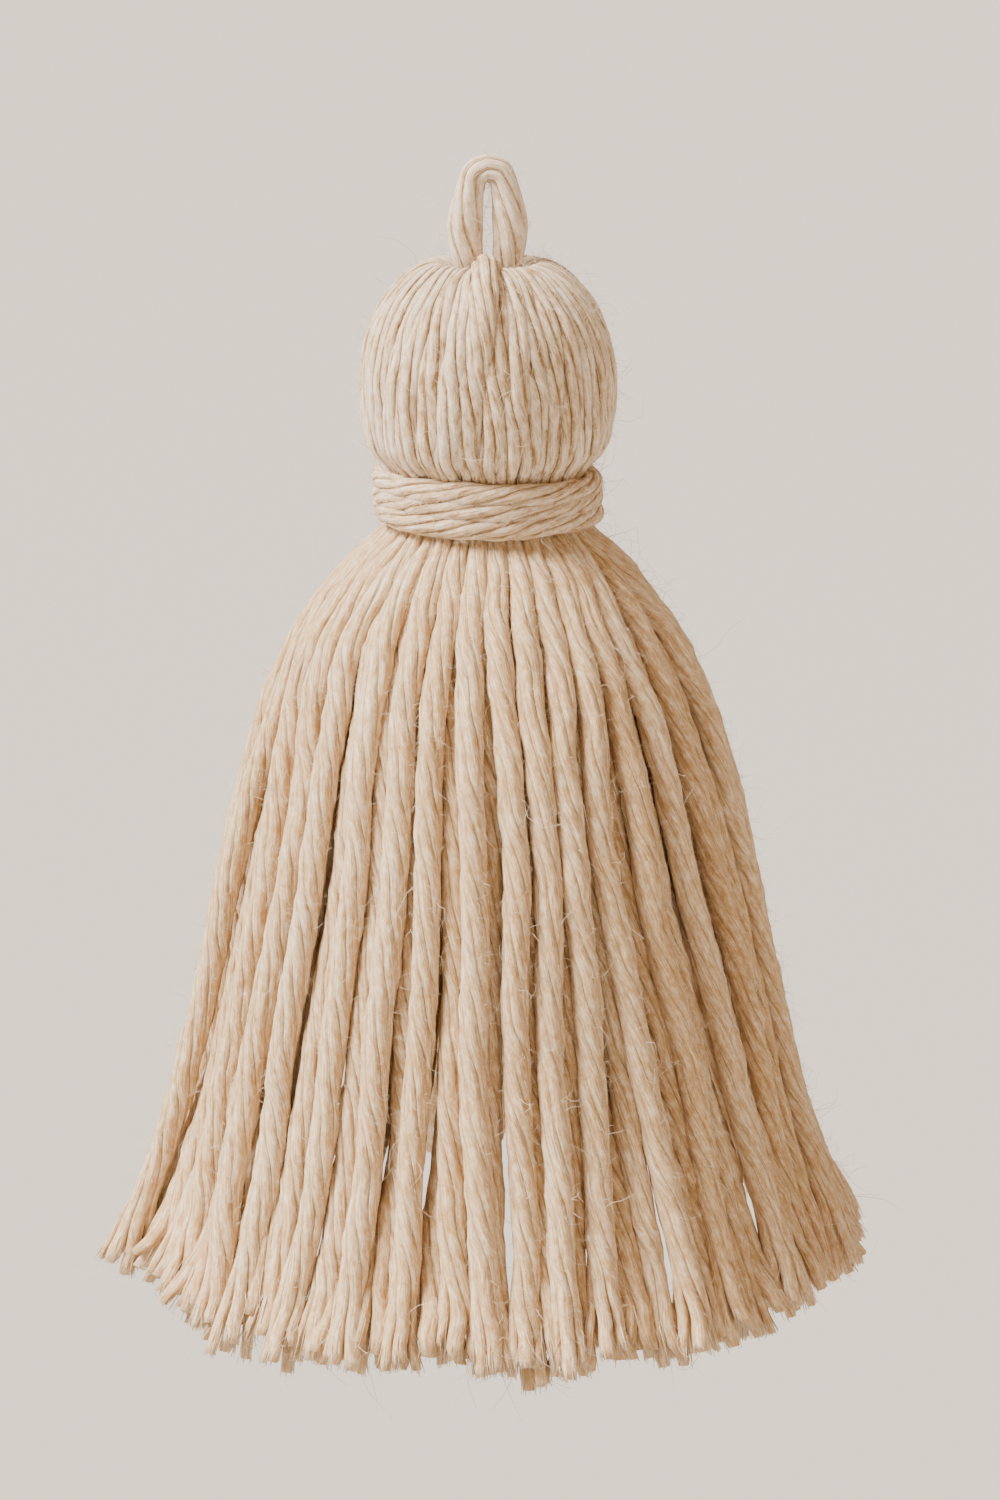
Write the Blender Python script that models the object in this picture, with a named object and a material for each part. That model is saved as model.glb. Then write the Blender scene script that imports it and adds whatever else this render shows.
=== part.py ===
"""A cotton yarn tassel: a ball head hung from a yarn loop, a bound neck and a bell of loose strands.

The origin is the inside top of the hanging loop, +Z is up and the front faces -Y.
Sizes below are in millimetres; heights are measured up from the origin.
"""

import bmesh
import bpy
import numpy as np

MM = 0.001
CLEAR = 0.3

# The ball head is yarns folded over the loop and drawn in at the neck.
HEAD_YARNS = 35
POINTS_A_YARN = 2
YARN_RAISE = 0.3
YARN_SLANT = 0.008
HEAD_OUTLINE = (  # radius, height: from the dimple over the crown down to the neck
    (1.3, -11.6),
    (2.9, -10.0),
    (4.3, -8.2),
    (5.6, -7.7),
    (7.5, -8.5),
    (9.4, -10.3),
    (11.0, -12.6),
    (12.1, -15.3),
    (12.7, -18.6),
    (12.7, -21.6),
    (12.45, -24.2),
    (11.9, -26.2),
    (11.0, -27.2),
)
DIMPLE_FLOOR = -11.9
HEAD_RINGS = 16
NECK_RADIUS = 9.8
NECK_TOP = -27.5
NECK_BOTTOM = -34.4

# The binding is three turns of the same yarn round the neck.
BIND_TURNS = 3
BIND_TOP = -27.8
BIND_BOTTOM = -34.1
BIND_RADIUS = 11.45
BIND_VALLEY = 0.75
BIND_WAVE = 0.25
BIND_STEPS = 60
POINTS_A_TURN = 4

# The hanging loop: half of its centre line, from the crown to the hidden bend in the head.
LOOP_OUTLINE = (  # half width, height, yarn radius
    (0.0, 1.30, 1.25),
    (1.1, 0.85, 1.27),
    (1.6, -0.35, 1.32),
    (2.0, -2.4, 1.5),
    (2.2, -4.8, 1.6),
    (2.0, -7.2, 1.5),
    (1.75, -9.4, 1.2),
    (2.0, -11.6, 1.15),
    (1.9, -13.4, 1.15),
    (1.2, -14.7, 1.15),
    (0.0, -15.2, 1.15),
)
LOOP_SIDES = 8
LOOP_STEPS = 64
LOOP_PLIES = 4
LOOP_TURNS = 2
PLY_RAISE = 0.1

# The skirt: strands rooted in the underside of the neck, in rings from the outside in.
STRAND = 2.8
CUT_END = 3.5
BELL_ROOT = 9.0
BELL_SWELL = 17.8
SWELL_DEPTH = 15.0
HEM_FLARE = 10.9
SKIRT_DEPTH = 75.0
RINGS = (  # strands, radius at the neck, share of the bell's swell, hem height
    (35, BELL_ROOT, 1.0, -108.8),
    (35, 7.1, 0.975, -110.0),
    (24, 4.8, 0.8, -111.5),
    (8, 2.1, 0.38, -112.2),
)
FRONT = (  # bearings in degrees from the front, to +X: near the neck, waist, low, hem; hem height
    (-82, -77, -80, -81, -107.6),
    (-71, -58, -63, -58, -107.8),
    (-61, -49, -53, -48, -108.6),
    (-51, -42, -43, -42, -109.9),
    (-36, -29, -31, -31, -109.4),
    (-25, -21, -24, -24, -109.2),
    (-14, -11, -12, -10, -109.0),
    (-5, -4, -4, -1, -108.9),
    (6, 9, 6, 4, -109.8),
    (14, 13, 13, 12, -109.6),
    (21, 18, 21, 20, -108.2),
    (28, 26, 32, 35, -109.2),
    (37, 37, 43, 43, -108.4),
    (48, 48, 55, 56, -107.9),
    (61, 60, 66, 64, -107.2),
    (81, 84, 86, 78, -107.9),
)
FRONT_DEPTHS = (0.0, 7.0, 27.0, 50.0, SKIRT_DEPTH)
LEVELS = np.array((-0.4, 3.5, 8.0, 13.5, 21.0, 32.0, 45.0, 58.0, 69.5))
UNEVEN_RADIUS = 0.9
UNEVEN_BEARING = 0.05
UNEVEN_HEM = 1.0
SPREAD_ROUNDS = 80
SPREAD_STEP = 0.3
SPREAD_EASE = 0.25
SEED = 7


def bell_radius(depth):
    """Root radius plus an exponential swell plus a cubic flare at the hem, for a depth below the neck."""
    swell = BELL_SWELL * (1 - np.exp(-depth / SWELL_DEPTH))
    return BELL_ROOT + swell + HEM_FLARE * (depth / SKIRT_DEPTH) ** 3


def front_bearings(depth):
    """Bearings of the front strands at one depth: from even at the root to those of the table."""
    count = RINGS[0][0]
    table = np.radians(np.array(FRONT)[:, :4])
    middle = (len(FRONT) - 1) / 2
    even = (np.arange(len(FRONT)) - middle) * 2 * np.pi / count
    known = np.column_stack([even, table])
    return np.array([np.interp(max(depth, 0), FRONT_DEPTHS, row) for row in known])


def outer_bearings(depth):
    """The front strands' bearings, then even steps round the back from the last to the first."""
    front = front_bearings(depth)
    behind = RINGS[0][0] - len(FRONT)
    gap = 2 * np.pi - (front[-1] - front[0])
    return np.concatenate([front, front[-1] + gap * np.arange(1, behind + 1) / (behind + 1)])


def ring_bearings(ring, depths, rng):
    """Bearings at each depth: the outer ring's, then halfway between those, then even steps."""
    if ring > 1:
        count = RINGS[ring][0]
        return np.tile((np.arange(count) + rng.uniform()) * 2 * np.pi / count, (len(depths), 1))
    outer = np.array([outer_bearings(depth) for depth in depths])
    after = np.column_stack([outer[:, 1:], outer[:, :1] + 2 * np.pi])
    return (outer + after) / 2 if ring else outer


def strand_targets(rng):
    """Where each strand would lie at each level, as (levels, strands, x and y), and its hem height."""
    depths = np.maximum(LEVELS, 0)
    swell = (bell_radius(depths) - BELL_ROOT)[:, None]
    growth = swell / swell.max()
    places, hems = [], []
    for ring, (count, root, share, hem) in enumerate(RINGS):
        bearing = ring_bearings(ring, depths, rng) + growth * rng.uniform(-1, 1, count) * UNEVEN_BEARING
        radius = root + swell * share - growth * rng.uniform(0, 1, count) * UNEVEN_RADIUS
        places.append(np.stack([radius * np.sin(bearing), -radius * np.cos(bearing)], axis=2))
        hems.append(hem + rng.uniform(-1, 1, count) * UNEVEN_HEM)
    hems[0][: len(FRONT)] = np.array(FRONT)[:, 4]
    return np.concatenate(places, axis=1), np.concatenate(hems)


def pairs(places):
    """Offsets between all pairs at each level, and their distances, a strand's own set past any other."""
    offset = places[:, :, None] - places[:, None]
    distance = np.linalg.norm(offset, axis=3)
    return offset, distance + np.eye(places.shape[1]) * 4 * SKIRT_DEPTH


def spread(places):
    """Neighbours closer than a strand, or than the pitch that fills the bell there, are pushed apart."""
    outside = bell_radius(np.maximum(LEVELS, 0))[:, None]
    pitch = np.sqrt(np.pi * outside**2 / places.shape[1])
    wanted = np.minimum(STRAND + CLEAR, pitch)[:, :, None]
    start = places.copy()
    for _ in range(SPREAD_ROUNDS):
        offset, distance = pairs(places)
        push = np.clip(wanted - distance, 0, None) / distance
        moved = places - start + SPREAD_STEP * (offset * push[..., None]).sum(axis=2)
        moved[1:-1] += SPREAD_EASE * (moved[:-2] + moved[2:] - 2 * moved[1:-1])
        places = start + moved
        radius = np.linalg.norm(places, axis=2)
        places *= np.minimum(1, outside / radius)[..., None]
    return places


def strand_paths():
    """Centre points (levels, strands, 3) down to each cut end, and the thickness at each."""
    rng = np.random.default_rng(SEED)
    places, hems = strand_targets(rng)
    places = spread(places)
    heights = NECK_BOTTOM - LEVELS[:, None] + np.zeros_like(hems)
    last = (hems - heights[-1]) / (heights[-1] - heights[-2])
    ends = places[-1] + (places[-1] - places[-2]) * last[:, None]
    places = np.concatenate([places, ends[None]])
    heights = np.concatenate([heights, hems[None]])
    gap = pairs(places)[1].min(axis=2) - CLEAR
    most = np.full((len(places), 1), STRAND)
    most[-1] = CUT_END
    return np.dstack([places, heights]), np.minimum(most, gap)


def new_object(name, points, faces, material):
    """A mesh object of points in millimetres, with its quads cut in two and its faces outwards."""
    mesh = bpy.data.meshes.new(name)
    mesh.from_pydata((np.asarray(points) * MM).tolist(), [], [tuple(face) for face in faces])
    shape = bmesh.new()
    shape.from_mesh(mesh)
    bmesh.ops.triangulate(shape, faces=[face for face in shape.faces if len(face.verts) == 4])
    bmesh.ops.recalc_face_normals(shape, faces=shape.faces)
    shape.to_mesh(mesh)
    shape.free()
    mesh.shade_smooth()
    obj = bpy.data.objects.new(name, mesh)
    bpy.context.collection.objects.link(obj)
    if material:
        mesh.materials.append(material)
    return obj


def grid_faces(rows, columns, close_rows=False):
    """Quads between rows of points, closed round each row, and from the last row to the first if asked."""
    row = np.arange(rows if close_rows else rows - 1)[:, None]
    column = np.arange(columns)[None]
    after = (column + 1) % columns
    below = (row + 1) % rows
    upper, lower = row * columns, below * columns
    return np.stack([upper + column, lower + column, lower + after, upper + after], axis=2).reshape(-1, 4)


def smooth_rows(table, steps):
    """Rows read evenly along a smooth curve through a table's rows (Catmull-Rom)."""
    rows = np.array(table, float)
    rows = np.concatenate([2 * rows[:1] - rows[1:2], rows, 2 * rows[-1:] - rows[-2:-1]])
    place = np.linspace(0, len(table) - 1, steps)
    cell = np.minimum(place.astype(int), len(table) - 2)
    t = (place - cell)[:, None]
    a, b, c, d = (rows[cell + k] for k in range(4))
    return b + 0.5 * t * (c - a + t * (2 * a - 5 * b + 4 * c - d + t * (3 * (b - c) + d - a)))


def cotton(name, colour):
    """Undyed cotton yarn: matt and cream."""
    material = bpy.data.materials.new(name)
    material.use_nodes = True
    shader = material.node_tree.nodes["Principled BSDF"]
    shader.inputs["Base Color"].default_value = (*colour, 1)
    shader.inputs["Roughness"].default_value = 0.9
    return material


def make_head(material):
    """The ball and neck as rings of points, whose radius rises at every yarn and falls between two."""
    neck = ((NECK_RADIUS, NECK_TOP), (NECK_RADIUS, NECK_BOTTOM))
    rings = np.concatenate([smooth_rows(HEAD_OUTLINE, HEAD_RINGS), neck])
    columns = HEAD_YARNS * POINTS_A_YARN
    angle = np.arange(columns) * 2 * np.pi / columns
    ridge = -np.cos(HEAD_YARNS * angle)
    raised = YARN_RAISE * np.minimum(rings[:, 0] / NECK_RADIUS, 1)
    raised[-len(neck) :] = 0
    radius = rings[:, :1] + raised[:, None] * ridge
    bearing = angle + YARN_SLANT * (rings[:, 1:] - NECK_TOP)
    height = rings[:, 1:] + np.zeros_like(radius)
    points = np.dstack([radius * np.sin(bearing), -radius * np.cos(bearing), height]).reshape(-1, 3)
    first = np.arange(columns)
    floor = np.column_stack([np.full(columns, len(points)), first, np.roll(first, -1)])
    underside = len(points) - columns + first[::-1]
    points = np.concatenate([points, [(0, 0, DIMPLE_FLOOR)]])
    faces = [*grid_faces(len(rings), columns), *floor, underside]
    return new_object("yarn_bundle", points, faces, material)


def make_strands():
    """Every strand as level four-cornered sections, one corner facing out, closed at both ends."""
    centres, thick = strand_paths()
    levels, count = thick.shape
    bearing = np.arctan2(centres[-1, :, 0], -centres[-1, :, 1])
    corner = bearing[:, None] + np.arange(4) * np.pi / 2
    around = np.stack([np.sin(corner), -np.cos(corner), np.zeros_like(corner)], axis=2)
    points = centres[:, :, None] + around * thick[:, :, None, None] / 2
    points = points.transpose(1, 0, 2, 3).reshape(-1, 3)
    sides = grid_faces(levels, 4)
    caps = np.array(((3, 2, 1, 0), np.arange(4) + (levels - 1) * 4))
    one = np.concatenate([sides, caps])
    faces = (one[None] + (np.arange(count) * levels * 4)[:, None, None]).reshape(-1, 4)
    return new_object("strands", points, faces, None)


def make_binding(material):
    """A ring whose outer face is three rounded turns, a little wavy, over a plain inner face."""
    rows = BIND_TURNS * POINTS_A_TURN + 1
    share = np.linspace(0, 1, rows)[:, None]
    angle = np.arange(BIND_STEPS) * 2 * np.pi / BIND_STEPS
    wave = BIND_WAVE * np.sin(angle + 0.6) * np.sin(np.pi * share)
    height = BIND_TOP + (BIND_BOTTOM - BIND_TOP) * share + wave
    rise = np.abs(np.sin(np.pi * BIND_TURNS * share)) ** 0.6
    radius = BIND_RADIUS - BIND_VALLEY * (1 - rise) + np.zeros_like(height)
    inside = np.full((2, BIND_STEPS), NECK_RADIUS + CLEAR)
    edges = np.array([[BIND_BOTTOM], [BIND_TOP]]) + np.zeros_like(inside)
    radius = np.concatenate([radius, inside])
    height = np.concatenate([height, edges])
    points = np.dstack([radius * np.sin(angle), -radius * np.cos(angle), height]).reshape(-1, 3)
    return new_object("neck_binding", points, grid_faces(rows + 2, BIND_STEPS, True), material)


def loop_ring(extra, raised):
    """Points of the closed loop: round sections in its plane, thicker by extra, with raised plies."""
    half = smooth_rows(LOOP_OUTLINE, LOOP_STEPS // 2 + 1)
    other = half[-2:0:-1] * (-1, 1, 1)
    line = np.concatenate([half, other])
    centre = np.column_stack([line[:, 0], np.zeros(len(line)), line[:, 1]])
    along = np.roll(centre, -1, axis=0) - np.roll(centre, 1, axis=0)
    along /= np.linalg.norm(along, axis=1)[:, None]
    side = np.cross(along, (0, 1, 0))
    turn = np.arange(LOOP_SIDES) * 2 * np.pi / LOOP_SIDES
    twist = 2 * np.pi * LOOP_TURNS * np.arange(len(line))[:, None] / len(line)
    lobes = np.cos(LOOP_PLIES * (turn - twist))
    radius = (line[:, 2:] + extra + raised * lobes)[..., None]
    across = side[:, None] * np.cos(turn)[None, :, None] + np.array((0, 1, 0)) * np.sin(turn)[None, :, None]
    return (centre[:, None] + radius * across).reshape(-1, 3), grid_faces(len(line), LOOP_SIDES, True)


def boolean(obj, other, operation):
    """Joins or cuts one object with another, which stays as a hidden helper."""
    other.hide_render = True
    other.display_type = "WIRE"
    change = obj.modifiers.new(f"{operation.lower()} {other.name}", "BOOLEAN")
    change.operation = operation
    change.solver = "EXACT"
    change.object = other


def main():
    for obj in list(bpy.data.objects):
        bpy.data.objects.remove(obj)
    bundle = make_head(cotton("cotton yarn", (0.79, 0.69, 0.54)))
    boolean(bundle, make_strands(), "UNION")
    boolean(bundle, new_object("loop_tunnel", *loop_ring(CLEAR + PLY_RAISE, 0), None), "DIFFERENCE")
    make_binding(cotton("binding yarn", (0.81, 0.72, 0.58)))
    new_object("hanging_loop", *loop_ring(0, PLY_RAISE), cotton("loop yarn", (0.80, 0.70, 0.56)))


main()
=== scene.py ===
"""A cotton yarn tassel: plied strings over a ball head, three turns of binding and a bell of loose strands.

Arrays are in millimetres in the frame of the part (origin at the inside top of the loop, +Z up, front -Y)
and turn to metres as they enter a mesh.
"""

import bpy
import numpy as np
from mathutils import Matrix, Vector


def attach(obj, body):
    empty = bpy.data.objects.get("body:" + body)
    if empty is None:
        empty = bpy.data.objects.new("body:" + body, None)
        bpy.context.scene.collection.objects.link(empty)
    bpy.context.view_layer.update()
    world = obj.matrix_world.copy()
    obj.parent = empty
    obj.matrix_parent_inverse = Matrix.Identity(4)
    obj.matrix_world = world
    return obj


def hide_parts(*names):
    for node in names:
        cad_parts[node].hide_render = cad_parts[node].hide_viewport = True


MM = 0.001
TAU = 2 * np.pi

# The forms of the solids, with the names, values and seed of part.py.
HEAD_YARNS = 35
HEAD_OUTLINE = (  # radius, height: from the dimple over the crown down to the neck
    (1.3, -11.6),
    (2.9, -10.0),
    (4.3, -8.2),
    (5.6, -7.7),
    (7.5, -8.5),
    (9.4, -10.3),
    (11.0, -12.6),
    (12.1, -15.3),
    (12.7, -18.6),
    (12.7, -21.6),
    (12.45, -24.2),
    (11.9, -26.2),
    (11.0, -27.2),
)
NECK_RADIUS = 9.8
NECK_BOTTOM = -34.4
BIND_TOP = -27.8
BIND_BOTTOM = -34.1
BIND_RADIUS = 11.45
LOOP_OUTLINE = (  # half width, height, yarn radius: from the crown to the hidden bend in the head
    (0.0, 1.30, 1.25),
    (1.1, 0.85, 1.27),
    (1.6, -0.35, 1.32),
    (2.0, -2.4, 1.5),
    (2.2, -4.8, 1.6),
    (2.0, -7.2, 1.5),
    (1.75, -9.4, 1.2),
    (2.0, -11.6, 1.15),
    (1.9, -13.4, 1.15),
    (1.2, -14.7, 1.15),
    (0.0, -15.2, 1.15),
)
CLEAR = 0.3
STRAND = 2.8
CUT_END = 3.5
BELL_ROOT = 9.0
BELL_SWELL = 17.8
SWELL_DEPTH = 15.0
HEM_FLARE = 10.9
SKIRT_DEPTH = 75.0
RINGS = (  # strands, radius at the neck, share of the bell's swell, hem height
    (35, BELL_ROOT, 1.0, -108.8),
    (35, 7.1, 0.975, -110.0),
    (24, 4.8, 0.8, -111.5),
    (8, 2.1, 0.38, -112.2),
)
# The front strands: read by eye in the photo, turned to bearings by a scratch script, then rounded and in
# places changed by hand.
FRONT = (  # bearings in degrees from the front, to +X: near the neck, waist, low, hem; hem height
    (-82, -77, -80, -81, -107.6),
    (-71, -58, -63, -58, -107.8),
    (-61, -49, -53, -48, -108.6),
    (-51, -42, -43, -42, -109.9),
    (-36, -29, -31, -31, -109.4),
    (-25, -21, -24, -24, -109.2),
    (-14, -11, -12, -10, -109.0),
    (-5, -4, -4, -1, -108.9),
    (6, 9, 6, 4, -109.8),
    (14, 13, 13, 12, -109.6),
    (21, 18, 21, 20, -108.2),
    (28, 26, 32, 35, -109.2),
    (37, 37, 43, 43, -108.4),
    (48, 48, 55, 56, -107.9),
    (61, 60, 66, 64, -107.2),
    (81, 84, 86, 78, -107.9),
)
FRONT_DEPTHS = (0.0, 7.0, 27.0, 50.0, SKIRT_DEPTH)
LEVELS = np.array((-0.4, 3.5, 8.0, 13.5, 21.0, 32.0, 45.0, 58.0, 69.5))
UNEVEN_RADIUS = 0.9
UNEVEN_BEARING = 0.05
UNEVEN_HEM = 1.0
SPREAD_ROUNDS = 80
SPREAD_STEP = 0.3
SPREAD_EASE = 0.25
SEED = 7

# The string: six plies laid in an S twist, one turn about every 32 mm where it hangs free.
STRING = 2.65
LAY = 32.0
# Plies, then shares of the string's half size: a ply's middle out, its half depth and its half width.
FREE_PLIES = (6, 0.69, 0.31, 0.5)
PULLED_PLIES = (6, 0.66, 0.34, 0.42)
FLAT_PLIES = (5, 0.62, 0.38, 0.45)
LAY_SPREAD = (0.78, 1.3)
TWIST_DRIFT = (17.0, 0.25)  # wander of the twist: length, radians
PLY_DRIFT = (11.0, 0.06)  # wander of a ply's place: length, share of the half size
PLY_SWELL = 0.7  # share of that wander by which the ply's own size follows
PLY_SHADE = 0.15
TUFT = 9.0  # length over which a cut end opens into its plies
TUFT_POWER = 1.7
TUFT_SWELL = 0.22
TUFT_FAN = (0.6, 1.4)
PLY_FAN = (0.75, 1.25)
PLY_ENDS = 0.6  # how unevenly the plies end
TIP = 1.2  # length over which a ply rounds off
TIP_TAPER = 0.3
GRIPPED = 0.5  # share of the twist that is lost at the binding, and the length over which it comes back
GRIP_FADE = 9
UNTWISTED = 2  # length without twist at the cut end, and the length over which the twist fades
UNTWIST_FADE = 8

# How the strings hang beside the solids, for each ring: set outwards, swollen as a share, ended higher.
SET_OUT = (0.0, 1.1, 0.0, 0.0)
SWOLLEN = (0.07, 0.16, 0.4, 0.4)
SHORTER = (0.0, 1.1, 3.1, 3.1)
INNER_REACH = 34.5  # distance from the axis at which the inner strings reach the hem
LOOSE_STRING = 0  # the leftmost string stands off by itself at the hem
# Strings moved to +Y by some mm, as listed: they close the gaps seen from the sides.
SIDE_NUDGES = {0: -2.6, 1: 2.6, 14: 2.4, 15: -2.4}
ROOT_INWARD = 0.97  # the strings start a little inwards of and above the solids' first level
ROOT_RISE = 2.6
SQUEEZE = (1.12, 0.6)  # string thickness from the solid's: factor and addition
LINE_STEPS = 120
HANG_LENGTH = 85
WAVE_OUT = (46.0, 0.28)  # wander outwards and sideways: length, mm
WAVE_ASIDE = (38.0, 0.38)
WAVE_EASE = 30
MOST_SHARE = 1.05
LEFT_EDGE = -30.6  # strings past this x are drawn in by a share of the way, and the loose one is drawn out
LEFT_DRAW = 0.85
LOOSE_DRAW = -1.2
SIZE_SPREAD = (0.93, 1.05)

# The head's yarns and core, the binding and the loop.
HEAD_TUCK = ((10.0, -28.4), (9.7, -30.5), (9.6, -33.5))  # radius, height: the outline under the binding
CORE_TAIL = ((NECK_RADIUS, -28.5), (NECK_RADIUS, -33.5), (8.0, -36.0), (2.0, -37.5))
CORE_INSET = 1.2
CORE_LEAST = 0.2
CORE_SIDES = 72
HEAD_MIDDLE = -19.0
HEAD_UNEVEN = 0.16  # share of the step between yarns
HEAD_LIFT = (-0.22, 0.16)
HEAD_LIFT_RADIUS = 8
HEAD_LAP = (1.15, 0.25)  # yarn width from its share of the girth: factor and addition
HEAD_THICK = (0.8, 0.6, 2.0)  # yarn height: share of the width, least, most
HEAD_SLANT = 0.006  # radians a mm
HEAD_SLANT_FROM = -27
HEAD_RUN = 40
HEAD_WAVE = (30.0, 0.03)
HEAD_LAY = (34.0, 26.0)
CROWN_LAY = 36.0
CROWN_FLATNESS = 0.85
BIND_START = 0.9 * np.pi
BIND_WINDS = 3.25
BIND_HIGH = 2.0
BIND_WIDE = 2.5
BIND_LAY = 23.0
BIND_TUCK = 0.9
BIND_TUCK_SHARE = 0.06
LOOP_THICK = 2.2  # string size from the outline's yarn radius
LOOP_STEPS = 121

# Fibres: thickness and length ranges in mm. Counts are one for each group of strings, from the front in.
NAP_FACING = -0.1
NAP_LENGTH = (1.9, 0.6, 0.4)  # gamma shape, gamma scale, least
NAP_LONG = (0.07, 2.2)  # share that is longer, and how much
NAP_THICK = (0.015, 0.028)
NAP_CURL = 0.6
DOWN_FACING = -0.3
DOWN_LENGTH = (0.3, 1.1)
DOWN_THICK = (0.014, 0.024)
TUFT_FIBRES = (18, 14, 16, 8)
TUFT_PAST = (0.3, 0.22)  # how far the fibres reach past their ply: mean, spread
TUFT_THICK = (0.06, 0.1)
TUFT_CURL = 0.04
STRAYS = (90, 80, 50, 16)
STRAY_LENGTH = (2.5, 7)
STRAY_THICK = (0.025, 0.042)
STRAY_CURL = 0.5

# Pattern scales of the cotton: the nap across and along a ply in mm, and patches of about 7 mm.
STREAK_LONG = 16  # a streak is this many times as long as wide
NAP_GRAIN = (0.45, 1.3)
PATCH_SCALE = 140.0

# The camera stands half a metre off and looks down a little, so that a pixel is a tenth of a millimetre.
CAMERA_TILT = np.radians(14)
CAMERA_DISTANCE = 500.0
CAMERA_AIM = (1.2, 0.0, -57.0)
CAMERA_LENS = 120.0
CAMERA_SENSOR = 36.0
FLOOR_HEIGHT = -210.0
FLOOR_HALF = 3.0  # metres
FLOOR_COLOUR = "#BEBAB3"
SKY = ("#FFE1C2", 0.56)  # colour, strength
KEY = ((-1.0, -0.28, 1.2), 10.4, 28, "#FFF9F1")  # direction, strength, softness in degrees, colour
FILL = ((0.8, -0.7, 0.1), 0.6, 60, "#FFD3A4")


def smooth_rows(table, steps):
    """Rows read evenly along a smooth curve through a table's rows (Catmull-Rom)."""
    rows = np.array(table, float)
    rows = np.concatenate([2 * rows[:1] - rows[1:2], rows, 2 * rows[-1:] - rows[-2:-1]])
    place = np.linspace(0, len(table) - 1, steps)
    cell = np.minimum(place.astype(int), len(table) - 2)
    t = (place - cell).reshape(-1, *[1] * (rows.ndim - 1))
    a, b, c, d = (rows[cell + k] for k in range(4))
    return b + 0.5 * t * (c - a + t * (2 * a - 5 * b + 4 * c - d + t * (3 * (b - c) + d - a)))


def bell_radius(depth):
    """Root radius plus an exponential swell plus a cubic flare at the hem, for a depth below the neck."""
    swell = BELL_SWELL * (1 - np.exp(-depth / SWELL_DEPTH))
    return BELL_ROOT + swell + HEM_FLARE * (depth / SKIRT_DEPTH) ** 3


def front_bearings(depth):
    """Bearings of the front strands at one depth: from even at the root to those of the table."""
    count = RINGS[0][0]
    table = np.radians(np.array(FRONT)[:, :4])
    middle = (len(FRONT) - 1) / 2
    even = (np.arange(len(FRONT)) - middle) * TAU / count
    known = np.column_stack([even, table])
    return np.array([np.interp(max(depth, 0), FRONT_DEPTHS, row) for row in known])


def outer_bearings(depth):
    """The front strands' bearings, then even steps round the back from the last to the first."""
    front = front_bearings(depth)
    behind = RINGS[0][0] - len(FRONT)
    gap = TAU - (front[-1] - front[0])
    return np.concatenate([front, front[-1] + gap * np.arange(1, behind + 1) / (behind + 1)])


def ring_bearings(ring, depths, rng):
    """Bearings at each depth: the outer ring's, then halfway between those, then even steps."""
    if ring > 1:
        count = RINGS[ring][0]
        return np.tile((np.arange(count) + rng.uniform()) * TAU / count, (len(depths), 1))
    outer = np.array([outer_bearings(depth) for depth in depths])
    after = np.column_stack([outer[:, 1:], outer[:, :1] + TAU])
    return (outer + after) / 2 if ring else outer


def strand_targets(rng):
    """Where each strand would lie at each level, as (levels, strands, x and y), and its hem height."""
    depths = np.maximum(LEVELS, 0)
    swell = (bell_radius(depths) - BELL_ROOT)[:, None]
    growth = swell / swell.max()
    places, hems = [], []
    for ring, (count, root, share, hem) in enumerate(RINGS):
        bearing = ring_bearings(ring, depths, rng) + growth * rng.uniform(-1, 1, count) * UNEVEN_BEARING
        radius = root + swell * share - growth * rng.uniform(0, 1, count) * UNEVEN_RADIUS
        places.append(np.stack([radius * np.sin(bearing), -radius * np.cos(bearing)], axis=2))
        hems.append(hem + rng.uniform(-1, 1, count) * UNEVEN_HEM)
    hems[0][: len(FRONT)] = np.array(FRONT)[:, 4]
    return np.concatenate(places, axis=1), np.concatenate(hems)


def pairs(places):
    """Offsets between all pairs at each level, and their distances, a strand's own set past any other."""
    offset = places[:, :, None] - places[:, None]
    distance = np.linalg.norm(offset, axis=3)
    return offset, distance + np.eye(places.shape[1]) * 4 * SKIRT_DEPTH


def spread(places):
    """Neighbours closer than a strand, or than the pitch that fills the bell there, are pushed apart."""
    outside = bell_radius(np.maximum(LEVELS, 0))[:, None]
    pitch = np.sqrt(np.pi * outside**2 / places.shape[1])
    wanted = np.minimum(STRAND + CLEAR, pitch)[:, :, None]
    start = places.copy()
    for _ in range(SPREAD_ROUNDS):
        offset, distance = pairs(places)
        push = np.clip(wanted - distance, 0, None) / distance
        moved = places - start + SPREAD_STEP * (offset * push[..., None]).sum(axis=2)
        moved[1:-1] += SPREAD_EASE * (moved[:-2] + moved[2:] - 2 * moved[1:-1])
        places = start + moved
        radius = np.linalg.norm(places, axis=2)
        places *= np.minimum(1, outside / radius)[..., None]
    return places


def strand_paths():
    """Centre points (levels, strands, 3) down to each cut end, and the thickness at each."""
    rng = np.random.default_rng(SEED)
    places, hems = strand_targets(rng)
    places = spread(places)
    heights = NECK_BOTTOM - LEVELS[:, None] + np.zeros_like(hems)
    last = (hems - heights[-1]) / (heights[-1] - heights[-2])
    ends = places[-1] + (places[-1] - places[-2]) * last[:, None]
    places = np.concatenate([places, ends[None]])
    heights = np.concatenate([heights, hems[None]])
    gap = pairs(places)[1].min(axis=2) - CLEAR
    most = np.full((len(places), 1), STRAND)
    most[-1] = CUT_END
    return np.dstack([places, heights]), np.minimum(most, gap)


def unit(vectors):
    """Vectors of length one along the last axis."""
    return vectors / np.linalg.norm(vectors, axis=-1, keepdims=True)


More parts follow.
